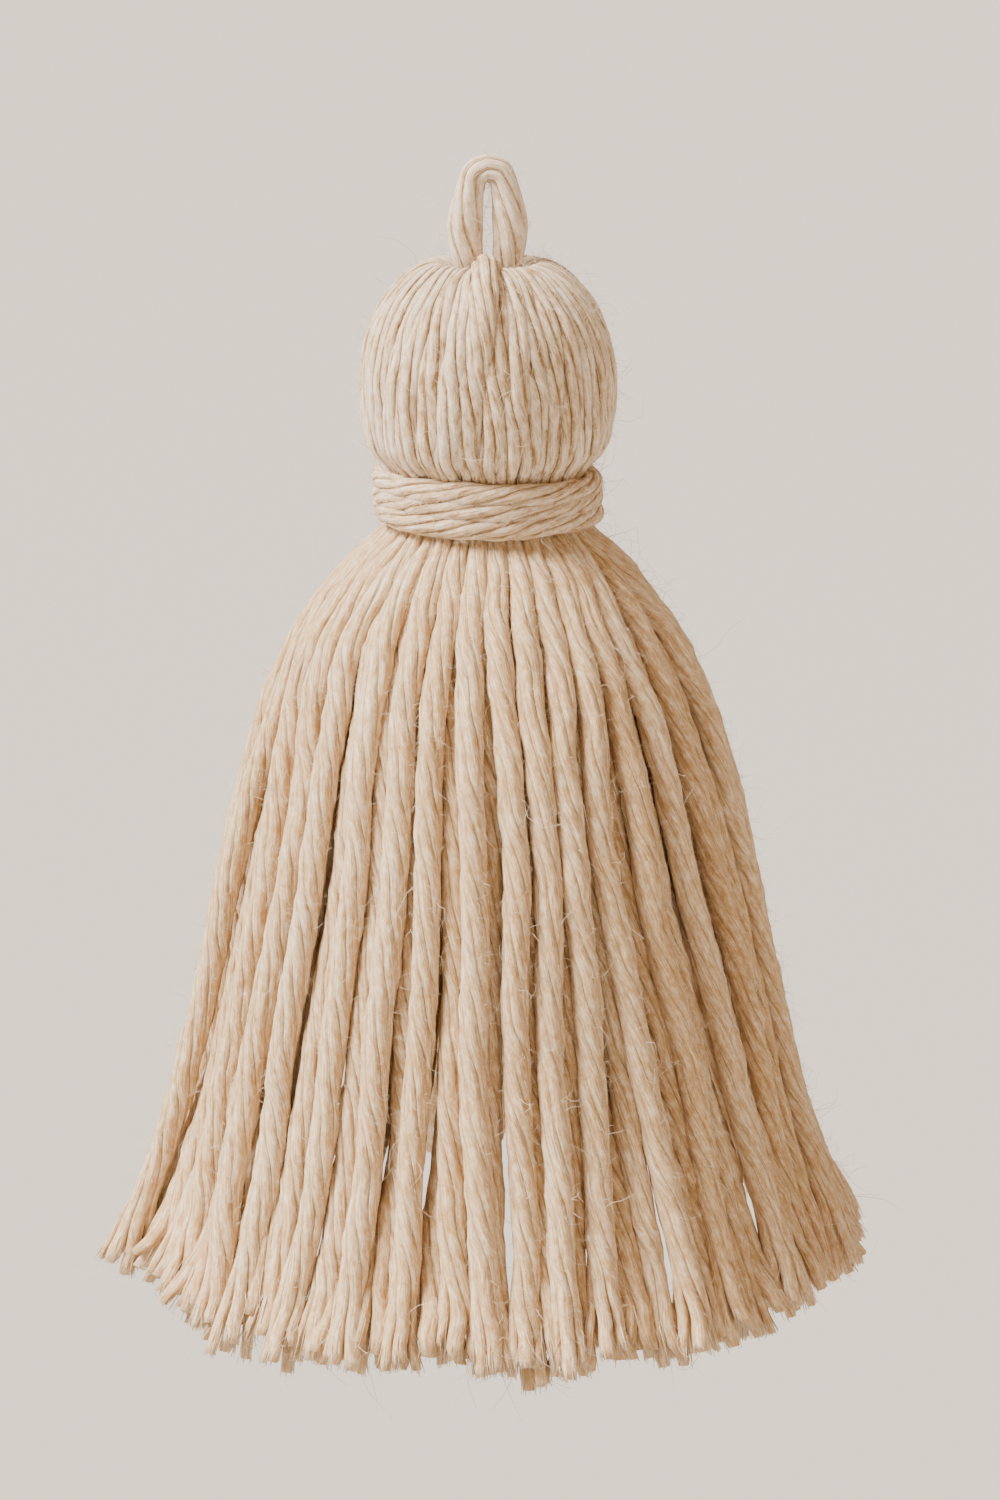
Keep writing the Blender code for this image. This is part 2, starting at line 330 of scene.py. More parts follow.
def even_steps(tables, steps):
    """Tables (m, n, columns) of x, y, z and sizes read again at steps places, evenly by length.

    Also returns the length run at each place, as (m, steps).
    """
    leg = np.linalg.norm(np.diff(tables[..., :3], axis=1), axis=2)
    run = np.concatenate([np.zeros((len(tables), 1)), np.cumsum(leg, axis=1)], axis=1)
    place = run[:, -1:] * np.linspace(0, 1, steps)
    read = [[np.interp(p, r, column) for column in t.T] for p, r, t in zip(place, run, tables)]
    return np.array(read).transpose(0, 2, 1), place


def frames(lines, outward, closed=False):
    """Unit vectors at each point of each line: outward made square to the line, and across it.

    across = outward x along, so a turn from outward to across, going along, is an S twist.
    """
    if closed:
        along = unit(np.roll(lines, -1, axis=1) - np.roll(lines, 1, axis=1))
    else:
        along = unit(np.gradient(lines, axis=1))
    out = unit(outward - (outward * along).sum(axis=-1, keepdims=True) * along)
    return out, np.cross(out, along), along


def wander(rng, count, run, length, size):
    """A smooth random value along each line: three sines of random phase, the longest of length."""
    value = np.zeros((count, run.shape[-1]))
    for octave in (1.0, 1.9, 3.1):
        phase = rng.uniform(0, TAU, (count, 1))
        pace = rng.uniform(0.8, 1.25, (count, 1))
        value += np.sin(TAU * run * octave * pace / length + phase) / octave
    return value * size / 1.8


class Tubes:
    """Tubes of one mesh: rings of corners round centre lines, gathered until the mesh is made."""

    def __init__(self):
        self.points, self.loops, self.totals, self.uvs, self.shades, self.crests = [], [], [], [], [], []
        self.count = 0

    def add(self, centre, up, side, run, sides, shade, closed=False):
        """Adds m tubes of n rings: a ring's corner at angle a is centre - cos(a) up - sin(a) side.

        centre, up and side are (m, n, 3), where up and side hold the ring's half sizes too. The faces' map
        is millimetres round and along the tube, and its seam lies opposite to up.
        """
        tubes, rings = run.shape
        angle = (np.arange(sides) * TAU / sides)[:, None]
        points = centre[:, :, None] - np.cos(angle) * up[:, :, None] - np.sin(angle) * side[:, :, None]
        row = np.arange(rings if closed else rings - 1)[:, None]
        corner = np.arange(sides)[None]
        after, below = (corner + 1) % sides, (row + 1) % rings
        here, there = row * sides, below * sides
        quads = np.stack([here + corner, there + corner, there + after, here + after], axis=2).reshape(-1, 4)
        start = self.count + np.arange(tubes)[:, None, None] * rings * sides
        self.loops.append((start + quads).ravel())
        self.totals.append(np.full(tubes * len(quads), 4))
        girth = np.pi * np.linalg.norm(up + side, axis=2).mean(axis=1) * np.sqrt(2)
        round_share = np.stack([corner, corner, corner + 1, corner + 1], axis=2) / sides
        round_share = round_share + 0.0 * row[..., None]
        along = run[:, :, None]
        if closed:
            step = run[:, 1:2] - run[:, :1]
            along = np.concatenate([along, run[:, -1:, None] + step[..., None]], axis=1)
        upper, lower = along[:, row[:, 0]], along[:, row[:, 0] + 1]
        run_map = np.stack([upper, lower, lower, upper], axis=3) + np.zeros((1, 1, sides, 1))
        shift = shade[:, None, None, None] * 97.0
        round_map = round_share[None] * girth[:, None, None, None] + shift
        self.uvs.append(np.stack([round_map, run_map + 3.0 * shift], axis=4).reshape(-1, 2))
        if not closed:
            first = np.arange(sides)
            caps = np.stack([first, (rings - 1) * sides + first[::-1]])
            self.loops.append((start + caps).ravel())
            self.totals.append(np.full(tubes * 2, sides))
            self.uvs.append(np.zeros((tubes * 2 * sides, 2)))
        self.shades.append(np.repeat(shade, rings * sides))
        # crest is the mask for the painted shade in the creases between plies
        self.crests.append(np.tile((1 - np.cos(angle[:, 0])) / 2, tubes * rings))
        self.points.append(points.reshape(-1, 3))
        self.count += tubes * rings * sides

    def make(self, name, material):
        """One mesh object of all the tubes, smooth, with its map and two attributes.

        shade is one value a tube, and crest goes from 0 on the side of the tube's seam to 1 opposite it; the
        cotton paints shade on the low end of crest.
        """
        points = np.concatenate(self.points) * MM
        loops, totals = np.concatenate(self.loops), np.concatenate(self.totals)
        mesh = bpy.data.meshes.new(name)
        mesh.vertices.add(len(points))
        mesh.vertices.foreach_set("co", points.ravel())
        mesh.loops.add(len(loops))
        mesh.loops.foreach_set("vertex_index", loops.astype(np.int32))
        mesh.polygons.add(len(totals))
        starts = np.concatenate([[0], np.cumsum(totals)[:-1]])
        mesh.polygons.foreach_set("loop_start", starts.astype(np.int32))
        mesh.update(calc_edges=True)
        mesh.uv_layers.new(name="lay").data.foreach_set("uv", np.concatenate(self.uvs).ravel())
        for attribute, values in (("shade", self.shades), ("crest", self.crests)):
            data = mesh.attributes.new(attribute, "FLOAT", "POINT").data
            data.foreach_set("value", np.concatenate(values))
        mesh.shade_smooth()
        mesh.materials.append(material)
        obj = bpy.data.objects.new(name, mesh)
        bpy.context.collection.objects.link(obj)
        return obj


def add_string(tubes, rng, tables, facing, turns, form, steps, sides, tuft=0.0, closed=False):
    """Adds the plies of m strings whose tables (m, n, 5) hold x, y, z, height and width.

    Ply k of n stands at k/n turn + turns(run) from the facing direction. The form gives n and the ply's
    shares of the string's half size. Over the last tuft millimetres the plies part slowly and then faster,
    end unevenly and round off. Returns the plies' middle lines, their half depths and widths as vectors,
    and the lengths run, each with one row a ply.
    """
    read, run = even_steps(tables, steps)
    if closed:
        read, run = read[:, :-1], run[:, :-1]
    line = read[..., :3]
    out, across, along = frames(line, facing(line), closed)
    out, across = out * read[..., 3:4] / 2, across * read[..., 4:5] / 2
    count = len(line)
    left = run[:, -1:] - run
    opening, rounding = np.zeros_like(run), 1.0
    if tuft:
        opening = np.clip(1 - left / tuft, 0, 1) ** TUFT_POWER
        rounding = (1 + TUFT_SWELL * opening) * (1 - TIP_TAPER * np.clip(1 - left / TIP, 0, 1) ** 2)
    loose = np.zeros_like(run) if closed else wander(rng, count, run, *TWIST_DRIFT)
    start = rng.uniform(0, TAU, (count, 1)) + TAU * turns(run) + loose
    shade = rng.uniform(0, 1, count)
    fan = rng.uniform(*TUFT_FAN, (count, 1))
    number, offset, depth, width = form
    plies = []
    for ply in range(number):
        angle = (start + ply * TAU / number)[..., None]
        uneven = np.zeros_like(run) if closed else wander(rng, count, run, *PLY_DRIFT)
        apart = (offset + uneven) * (1 + fan * rng.uniform(*PLY_FAN, (count, 1)) * opening)
        up = np.cos(angle) * out + np.sin(angle) * across
        side = np.cos(angle) * across - np.sin(angle) * out
        past = rng.normal(0, PLY_ENDS, (count, 1)) * opening
        middle = line + up * apart[..., None] + along * past[..., None]
        up = up * ((depth + PLY_SWELL * uneven) * rounding)[..., None]
        side = side * ((width + PLY_SWELL * uneven) * rounding)[..., None]
        ply_shade = np.clip(shade + rng.uniform(-PLY_SHADE, PLY_SHADE, count), 0, 1)
        tubes.add(middle, up, side, run, sides, ply_shade, closed)
        plies.append((middle, up, side, run))
    return [np.concatenate(rows) for rows in zip(*plies)]


def even_turns(lay):
    """Turns made over a length run, at one turn a lay."""
    return lambda run: run / lay


def hanging_turns(lay):
    """Turns of a skirt string: half as fast where the binding grips it, and none over the cut end."""

    def turns(run):
        gripped = 1 - GRIPPED * np.exp(-run / GRIP_FADE)
        free = np.clip((run[:, -1:] - run - UNTWISTED) / UNTWIST_FADE, 0, 1)
        return np.cumsum(gripped * free / lay, axis=1) * (run[:, 1:2] - run[:, :1])

    return turns


def srgb(code):
    """A hex colour as linear red, green, blue and alpha."""
    part = np.array([int(code[i : i + 2], 16) for i in (1, 3, 5)]) / 255
    linear = np.where(part <= 0.04045, part / 12.92, ((part + 0.055) / 1.055) ** 2.4)
    return (*linear.tolist(), 1.0)


def node(tree, kind, links=None, **settings):
    """Adds a node, sets its properties, and links or sets its inputs by name or number."""
    new = tree.nodes.new(kind)
    for name, value in settings.items():
        setattr(new, name, value)
    for key, value in (links or {}).items():
        if isinstance(value, bpy.types.NodeSocket):
            tree.links.new(value, new.inputs[key])
        else:
            new.inputs[key].default_value = value
    return new


def ramp(tree, factor, *stops):
    """A colour ramp over the given (place, hex colour) stops."""
    new = node(tree, "ShaderNodeValToRGB", {"Fac": factor})
    points = new.color_ramp.elements
    while len(points) < len(stops):
        points.new(0.5)
    for point, (place, code) in zip(points, stops):
        point.position = place
        point.color = srgb(code)
    return new


def carded_cotton(name, pale, mid, deep, streak_mm, relief_mm, crease_shade):
    """Soft-spun undyed cotton: matt, with fine streaks along each ply where its fibres lie.

    Where two plies meet, on the low side of each ply's crest value, the tone deepens by the value
    crease_shade: painted shade in the crease between plies.
    """
    material = bpy.data.materials.new(name)
    material.use_nodes = True
    tree = material.node_tree
    tree.nodes.clear()
    lay = node(tree, "ShaderNodeUVMap", uv_map="lay").outputs["UV"]
    streak_scale = (1 / streak_mm, 1 / (streak_mm * STREAK_LONG), 1)
    streak_at = node(tree, "ShaderNodeMapping", {"Vector": lay, "Scale": streak_scale}).outputs[0]
    streak = node(
        tree, "ShaderNodeTexNoise",
        {"Vector": streak_at, "Scale": 1.0, "Detail": 4.0, "Roughness": 0.65, "Distortion": 0.5},
        noise_dimensions="2D",
    ).outputs["Fac"]
    nap_scale = (1 / NAP_GRAIN[0], 1 / NAP_GRAIN[1], 1)
    nap_at = node(tree, "ShaderNodeMapping", {"Vector": lay, "Scale": nap_scale}).outputs[0]
    nap = node(
        tree, "ShaderNodeTexNoise", {"Vector": nap_at, "Scale": 1.0, "Detail": 5.0, "Roughness": 0.7},
        noise_dimensions="2D",
    ).outputs["Fac"]
    place = node(tree, "ShaderNodeTexCoord").outputs["Object"]
    patch = node(
        tree, "ShaderNodeTexNoise",
        {"Vector": place, "Scale": PATCH_SCALE, "Detail": 2.0, "Roughness": 0.5},
    ).outputs["Fac"]
    shade = node(tree, "ShaderNodeAttribute", attribute_name="shade").outputs["Fac"]
    mixed = node(tree, "ShaderNodeMath", {0: streak, 1: nap}, operation="ADD").outputs[0]
    mixed = node(tree, "ShaderNodeMath", {0: patch, 1: 0.2, 2: mixed}, operation="MULTIPLY_ADD").outputs[0]
    mixed = node(tree, "ShaderNodeMath", {0: shade, 1: 0.14, 2: mixed}, operation="MULTIPLY_ADD").outputs[0]
    crest = node(tree, "ShaderNodeAttribute", attribute_name="crest").outputs["Fac"]
    # painted shade: the tone is lowered on the inward side of each ply, where it meets the next one
    painted_crease_shade = node(
        tree, "ShaderNodeMapRange",
        {"Value": crest, "From Min": 0.45, "From Max": 0.85, "To Min": -crease_shade, "To Max": 0},
    ).outputs["Result"]
    mixed = node(tree, "ShaderNodeMath", {0: mixed, 1: painted_crease_shade}, operation="ADD").outputs[0]
    tone = node(
        tree, "ShaderNodeMapRange", {"Value": mixed, "From Min": 0.83, "From Max": 1.48}
    ).outputs["Result"]
    colour = ramp(tree, tone, (0.0, deep), (0.45, mid), (1.0, pale)).outputs["Color"]
    height = node(tree, "ShaderNodeMath", {0: nap, 1: 0.5, 2: streak}, operation="MULTIPLY_ADD").outputs[0]
    bump = node(
        tree, "ShaderNodeBump", {"Strength": 1.0, "Distance": relief_mm * MM, "Height": height}
    ).outputs["Normal"]
    shader = node(
        tree, "ShaderNodeBsdfPrincipled",
        {
            "Base Color": colour,
            "Roughness": 0.85,
            "IOR": 1.5,
            "Specular IOR Level": 0.25,
            "Subsurface Weight": 0.2,
            "Subsurface Radius": (1.0, 0.62, 0.36),
            "Subsurface Scale": 0.7 * MM,
            "Sheen Weight": 0.25,
            "Sheen Roughness": 0.45,
            "Sheen Tint": srgb("#FFF4E2"),
            "Normal": bump,
        },
    )
    node(tree, "ShaderNodeOutputMaterial", {"Surface": shader.outputs["BSDF"]})
    return material


def stray_fibre(name, colour):
    """Single cotton hairs: pale, so that they catch the light."""
    material = bpy.data.materials.new(name)
    material.use_nodes = True
    tree = material.node_tree
    tree.nodes.clear()
    shade = node(tree, "ShaderNodeAttribute", attribute_name="shade").outputs["Fac"]
    tint = ramp(tree, shade, (0.0, colour[0]), (1.0, colour[1])).outputs["Color"]
    shader = node(
        tree, "ShaderNodeBsdfPrincipled",
        {"Base Color": tint, "Roughness": 0.7, "Specular IOR Level": 0.3, "Sheen Weight": 0.2},
    )
    node(tree, "ShaderNodeOutputMaterial", {"Surface": shader.outputs["BSDF"]})
    return material


def skirt_lines():
    """Smooth centre lines of the strands (strands, points, 3) and the string's thickness along each.

    The solids' paths, started under the binding. The string is a little thicker than the solid, as real
    strings press into their neighbours, up to its full size. It swells towards the hem, and more so behind
    the outer ring.
    """
    centres, thick = strand_paths()
    above = centres[:1] * (ROOT_INWARD, ROOT_INWARD, 1) + (0, 0, ROOT_RISE)
    centres = np.concatenate([above, centres])
    thick = np.concatenate([thick[:1], thick])
    swelling = np.repeat(SWOLLEN, [ring[0] for ring in RINGS])
    full = STRING * (1 + np.linspace(0, 1, len(thick))[:, None] * swelling)
    size = np.minimum(full, thick * SQUEEZE[0] + SQUEEZE[1])
    size[-1] = full[-1]
    table = np.dstack([centres, size])
    smooth = smooth_rows(table, LINE_STEPS).transpose(1, 0, 2)
    return smooth[..., :3], smooth[..., 3]


def radial(lines):
    """Unit vectors away from the tassel's axis, level."""
    return unit(lines * (1, 1, 0) + (1e-6, 0, 0))


def fill_gaps(lines, share):
    """The inner rings' strings drawn out at the hem, one after another each to the widest gap that is left.

    Strings and places are paired in order of bearing, from where the strings have the least way to go.
    All the inner strings are drawn out, which leaves the middle of the skirt hollow at the hem.
    """
    inner = RINGS[0][0] + RINGS[1][0]
    bearing = np.arctan2(lines[:, -1, 0], -lines[:, -1, 1])
    count = len(lines) - inner
    held = np.sort(np.delete(bearing[:inner], LOOSE_STRING))
    middles = np.empty(count)
    for filled in range(count):
        gap = np.diff(held, append=held[0] + TAU)
        widest = gap.argmax()
        middles[filled] = held[widest] + gap[widest] / 2
        held = np.insert(held, widest + 1, middles[filled])
    order = inner + np.argsort(bearing[inner:])
    ways = [(np.roll(np.sort(middles), k) - bearing[order] + np.pi) % TAU - np.pi for k in range(count)]
    target = bearing[order] + min(ways, key=lambda way: np.abs(way).sum())
    place = np.column_stack([np.sin(target), -np.cos(target)]) * INNER_REACH
    moved = lines.copy()
    moved[order, :, :2] += (place - lines[order, -1, :2])[:, None] * share[order][..., None]
    return moved


def hanging_lines(rng):
    """The smooth lines as they hang, a little wavy, and their sizes.

    Rings are set outwards and ended higher. All but the loose string are drawn in at the left of the hem,
    so that it stands off from them. Four strings are moved to close gaps at the sides, and the inner rings'
    strings are drawn out to the gaps at the hem.
    """
    lines, size = skirt_lines()
    steps = np.linspace(0, 1, lines.shape[1])[None] * HANG_LENGTH
    out, across, _ = frames(lines, radial(lines))
    ease = np.clip(steps / WAVE_EASE, 0, 1)
    lines = lines + out * (wander(rng, len(lines), steps, *WAVE_OUT) * ease)[..., None]
    lines = lines + across * (wander(rng, len(lines), steps, *WAVE_ASIDE) * ease)[..., None]
    share = np.clip((NECK_BOTTOM - lines[..., 2]) / SKIRT_DEPTH, 0, MOST_SHARE)
    strings = [ring[0] for ring in RINGS]
    set_out = np.repeat(SET_OUT, strings)[:, None]
    lines = lines + radial(lines) * (set_out * np.sqrt(share))[..., None]
    lines[..., 2] += np.repeat(SHORTER, strings)[:, None] * share**2
    drawn_in = LEFT_DRAW * np.clip(LEFT_EDGE - lines[..., 0], 0, None)
    drawn_in[LOOSE_STRING] = LOOSE_DRAW
    lines[..., 0] += drawn_in * share**3
    for string, nudge in SIDE_NUDGES.items():
        lines[string, :, 1] += nudge * np.sqrt(share[string])
    lines = fill_gaps(lines, share)
    return lines, size * rng.uniform(*SIZE_SPREAD, (len(lines), 1))


def make_skirt(material):
    """The strands in four meshes: front and back of the outer ring, the second ring and the inner rings."""
    rng = np.random.default_rng(21)
    lines, size = hanging_lines(rng)
    outer, second = RINGS[0][0], RINGS[0][0] + RINGS[1][0]
    tables = np.dstack([lines, size, size])
    front = len(FRONT) + 1
    groups = (  # name, strings, points along a string, corners round a ply
        ("skirt_front", slice(0, front), 90, 6),
        ("skirt_back", slice(front, outer), 84, 6),
        ("skirt_second", slice(outer, second), 64, 5),
        ("skirt_inner", slice(second, None), 42, 5),
    )
    pieces, strands = [], []
    for name, which, rings, sides in groups:
        tubes = Tubes()
        turns = hanging_turns(LAY * rng.uniform(*LAY_SPREAD, (len(tables[which]), 1)))
        strands.append(add_string(tubes, rng, tables[which], radial, turns, FREE_PLIES, rings, sides, TUFT))
        pieces.append(tubes.make(name, material))
    return pieces, strands


def head_curve(tail, steps):
    """The head's outline and its tail as a smooth curve of radius and height, and its inward normals."""
    curve = smooth_rows([*HEAD_OUTLINE, *tail], steps)
    tangent = unit(np.gradient(curve, axis=0))
    return curve, np.column_stack([tangent[:, 1], -tangent[:, 0]])


def from_ball(lines):
    """Unit vectors away from the middle of the head's ball."""
    return unit(lines - (0, 0, HEAD_MIDDLE))


def make_head(material, core_material):
    """The head's yarns, each of 5 plies flattened to its share of the girth, over a plain core."""
    rng = np.random.default_rng(5)
    curve, inward = head_curve(HEAD_TUCK, 90)
    count = HEAD_YARNS
    share = np.arange(count) / count + rng.uniform(-HEAD_UNEVEN, HEAD_UNEVEN, count) / count
    lift = rng.uniform(*HEAD_LIFT, count)
    wide = TAU * curve[:, 0] / count * HEAD_LAP[0] + HEAD_LAP[1]
    high = np.clip(wide * HEAD_THICK[0], *HEAD_THICK[1:])
    middle = curve + inward * high[:, None] * 0.5
    radius = middle[:, 0][None] + lift[:, None] * np.clip(curve[:, 0] / HEAD_LIFT_RADIUS, 0, 1)[None]
    bearing = share[:, None] * TAU + HEAD_SLANT * (curve[:, 1][None] - HEAD_SLANT_FROM)
    run = np.linspace(0, HEAD_RUN, len(curve))[None]
    bearing = bearing + wander(rng, count, run, *HEAD_WAVE)
    height = np.tile(middle[:, 1], (count, 1))
    lines = np.stack([radius * np.sin(bearing), -radius * np.cos(bearing), height], axis=2)
    tubes = Tubes()
    lay = HEAD_LAY[0] + HEAD_LAY[1] * np.clip(-np.sin(share * TAU), 0, 1)[:, None]
    tables = np.dstack([lines, np.tile(high, (count, 1)), np.tile(wide, (count, 1))])
    laid = add_string(tubes, rng, tables, from_ball, even_turns(lay), FLAT_PLIES, 52, 7)
    yarns = tubes.make("head_yarns", material)
    core = make_core(core_material)
    return yarns, core, laid


def make_core(material):
    """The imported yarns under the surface: the head's outline drawn in a little and turned round."""
    curve, inward = head_curve(CORE_TAIL, 48)
    curve = curve + inward * CORE_INSET
    curve[:, 0] = np.maximum(curve[:, 0], CORE_LEAST)
    line = (curve[:, 1:] * (0, 0, 1))[None]
    radius = curve[None, :, :1]
    tubes = Tubes()
    up, side = radius * (0, -1, 0), radius * (1, 0, 0)
    tubes.add(line, up, side, -curve[None, :, 1], CORE_SIDES, np.array([0.3]))
    return tubes.make("head_core", material)


CROWN_YARN = (  # x, y, z, width: the yarn over the loop's bend, from the dimple down the front
    (0.15, 2.4, -10.4, 1.4),
    (0.1, 0.6, -9.0, 1.6),
    (0.0, -1.3, -8.1, 2.1),
    (-0.1, -3.2, -7.7, 2.5),
    (-0.2, -5.6, -7.8, 2.7),
    (-0.3, -8.1, -8.9, 2.8),
    (-0.45, -10.0, -11.1, 2.7),
    (-0.6, -11.1, -13.7, 2.6),
    (-0.7, -11.2, -16.5, 2.5),
    (-0.7, -10.9, -19.5, 2.4),
    (-0.65, -10.2, -22.0, 2.3),
)


def make_crown_yarn(material):
    """The one yarn that lies on top of the others, over the loop's hidden bend and down the front."""
    rng = np.random.default_rng(11)
    rows = smooth_rows(CROWN_YARN, 60)
    table = np.column_stack([rows[:, :3], rows[:, 3] * CROWN_FLATNESS, rows[:, 3]])[None]
    tubes = Tubes()
    add_string(tubes, rng, table, from_ball, even_turns(CROWN_LAY), PULLED_PLIES, 56, 8)
    return tubes.make("crown_yarn", material)


def make_binding(material):
    """The binding: one string wound a little over three turns down the neck, its two ends tucked under.

    Its height goes evenly from top to bottom, but for level stretches at both ends and two slow waves.
    """
    rng = np.random.default_rng(3)
    share = np.linspace(0, 1, 260)
    bearing = BIND_START + share * BIND_WINDS * TAU
    top, bottom = BIND_TOP - BIND_WIDE / 2 + 0.1, BIND_BOTTOM + BIND_WIDE / 2 - 0.1
    height = top + (bottom - top) * np.clip((share - 0.09) / 0.82, 0, 1)
    height = height + 0.28 * np.sin(bearing + 0.8) * np.sin(np.pi * share) + 0.12 * np.sin(2.3 * bearing)
    tucked = np.clip(1 - np.minimum(share, 1 - share) / BIND_TUCK_SHARE, 0, 1) ** 2
    radius = BIND_RADIUS - BIND_HIGH / 2 - BIND_TUCK * tucked + 0.08 * np.sin(3.1 * bearing)
    x, y = radius * np.sin(bearing), -radius * np.cos(bearing)
    high, wide = np.full_like(share, BIND_HIGH), np.full_like(share, BIND_WIDE)
    table = np.column_stack([x, y, height, high, wide])[None]
    tubes = Tubes()
    laid = add_string(tubes, rng, table, radial, even_turns(BIND_LAY), PULLED_PLIES, 280, 8)
    return tubes.make("binding_turns", material), laid


def from_loop(lines):
    """Unit vectors out of a closed line in the XZ plane, square to it."""
    along = np.roll(lines, -1, axis=1) - np.roll(lines, 1, axis=1)
    return unit(np.cross(along, (0, 1, 0)))


def make_loop(material):
    """The hanging loop: six plies that wind once on the way round a closed line in the XZ plane."""
    rng = np.random.default_rng(8)
    half = smooth_rows(LOOP_OUTLINE[::-1], 61)
    line = np.concatenate([half, half[-2::-1] * (-1, 1, 1)])
    size = line[:, 2] * LOOP_THICK
    table = np.column_stack([line[:, 0], np.zeros(len(line)), line[:, 1], size, size])[None]
    tubes = Tubes()
    whole = np.linspace(0, 1, LOOP_STEPS)[None, :-1]
    laid = add_string(
        tubes, rng, table, from_loop, lambda run: whole, PULLED_PLIES, LOOP_STEPS, 8, closed=True
    )
    return tubes.make("loop_plies", material), laid


def hairs(tubes, rng, root, toward, length, thick, curl, points=5):
    """Adds curved three-sided hairs: root + toward x way + a curl that grows as the way's power 1.6."""
    count = len(root)
    way = np.linspace(0, 1, points)[None, :, None]
    bend = unit(rng.normal(size=(count, 3)))
    twist = unit(np.cross(toward, bend))
    swing = rng.uniform(1.5, 5.0, (count, 1, 1)) * way
    sway = bend[:, None] * np.cos(swing) + twist[:, None] * np.sin(swing)
    line = root[:, None] + length[:, None, None] * (way * toward[:, None] + curl * way**1.6 * sway)
    out, across, _ = frames(line, twist[:, None] + 0.01 + 0 * line)
    taper = thick[:, None, None] * (1 - 0.6 * way)
    run = length[:, None] * way[..., 0]
    tubes.add(line, out * taper, across * taper, run, 3, rng.uniform(0, 1, count))


def fibre_roots(rng, laid, count, low=0.0, high=1.0):
    """Random places on the plies' outer sides, from share low to high of their length.

    Returns points, unit vectors out of the face, and unit vectors along the ply.
    """
    line, up, side, _ = laid
    ply = rng.integers(0, len(line), count)
    place = rng.uniform(low, high, count) * (line.shape[1] - 2)
    cell = place.astype(int)
    t = (place - cell)[:, None]
    turned = rng.uniform(-1.3, 1.3, (count, 1))
    middle = line[ply, cell] * (1 - t) + line[ply, cell + 1] * t
    along = unit(line[ply, cell + 1] - line[ply, cell])
    reach = up[ply, cell] * np.cos(turned) + side[ply, cell] * np.sin(turned)
    return middle + reach * 0.9, unit(reach), along


def make_nap(name, material, laid, seed, count, outside_only=True):
    """Short stray hairs that leave the plies' faces at all slants."""
    rng = np.random.default_rng(seed)
    root, face, along = fibre_roots(rng, laid, count)
    if outside_only:
        keep = (face * radial(root)).sum(axis=1) > NAP_FACING
        root, face, along = root[keep], face[keep], along[keep]
    many = len(root)
    toward = unit(face * rng.uniform(0.25, 1, (many, 1)) + along * rng.uniform(-1.2, 1.6, (many, 1)))
    length = rng.gamma(*NAP_LENGTH[:2], many) + NAP_LENGTH[2]
    length = length * np.where(rng.uniform(0, 1, many) < NAP_LONG[0], NAP_LONG[1], 1.0)
    tubes = Tubes()
    hairs(tubes, rng, root, toward, length, rng.uniform(*NAP_THICK, many), NAP_CURL)
    return tubes.make(name, material)


def make_down(name, material, laid, seed, count):
    """The finest nap: short straight fibres that soften the plies' faces and edges."""
    rng = np.random.default_rng(seed)
    root, face, along = fibre_roots(rng, laid, count)
    keep = (face * radial(root)).sum(axis=1) > DOWN_FACING
    root, face, along = root[keep], face[keep], along[keep]
    many = len(root)
    toward = unit(face + along * rng.uniform(-1.5, 2.2, (many, 1)) + rng.normal(0, 0.4, (many, 3)))
    tubes = Tubes()
    hairs(tubes, rng, root, toward, rng.uniform(*DOWN_LENGTH, many), rng.uniform(*DOWN_THICK, many), 0.0, 2)
    return tubes.make(name, material)


def make_tufts(material, strands):
    """The fibres at the plies' cut ends: each leaves its ply's last few points and ends raggedly past it."""
    rng = np.random.default_rng(31)
    tubes = Tubes()
    for laid, many in zip(strands, TUFT_FIBRES):
        line, up, side, _ = laid
        ply = np.repeat(np.arange(len(line)), many)
        count = len(ply)
        angle = rng.uniform(0, TAU, (count, 1))
        depth = np.sqrt(rng.uniform(0.15, 1, (count, 1)))
        reach = up[ply, -4] * np.cos(angle) + side[ply, -4] * np.sin(angle)
        face = unit(reach)
        back = line.shape[1] - rng.integers(2, 5, count)
        root = line[ply, back] + reach * depth * 0.92
        down = unit(line[ply, -1] - line[ply, -5])
        to_end = ((line[ply, -1] - root) * down).sum(axis=1)
        length = to_end + rng.normal(*TUFT_PAST, count) - 0.3 * depth[:, 0]
        toward = unit(down + face * depth * rng.uniform(0.02, 0.16, (count, 1)))
        length = np.maximum(length, 0.5)
        hairs(tubes, rng, root, toward, length, rng.uniform(*TUFT_THICK, count), TUFT_CURL, 3)
    return tubes.make("cut_end_fibres", material)


def make_strays(material, strands):
    """Long curly strays below the hem."""
    rng = np.random.default_rng(17)
    tubes = Tubes()
    for laid, many in zip(strands, STRAYS):
        root, face, along = fibre_roots(rng, laid, many, 0.93, 1.0)
        toward = unit(along + face * rng.uniform(0, 0.9, (many, 1)))
        length, thick = rng.uniform(*STRAY_LENGTH, many), rng.uniform(*STRAY_THICK, many)
        hairs(tubes, rng, root, toward, length, thick, STRAY_CURL, 9)
    return tubes.make("hem_strays", material)


def look_at(obj, target):
    """Turns a camera or a light, whose own view is down -Z, to face the target."""
    obj.rotation_euler = (Vector(target) - obj.location).to_track_quat("-Z", "Y").to_euler()


def make_camera():
    """The photo's view: from the front and a little above."""
    camera = bpy.data.objects.new("camera", bpy.data.cameras.new("camera"))
    bpy.context.collection.objects.link(camera)
    away = np.array((0, -np.cos(CAMERA_TILT), np.sin(CAMERA_TILT))) * CAMERA_DISTANCE
    camera.location = (np.array(CAMERA_AIM) + away) * MM
    camera.data.lens = CAMERA_LENS
    camera.data.sensor_width = CAMERA_SENSOR
    camera.data.clip_start = 0.01
    camera.data.clip_end = 20
    look_at(camera, np.array(CAMERA_AIM) * MM)
    bpy.context.scene.camera = camera


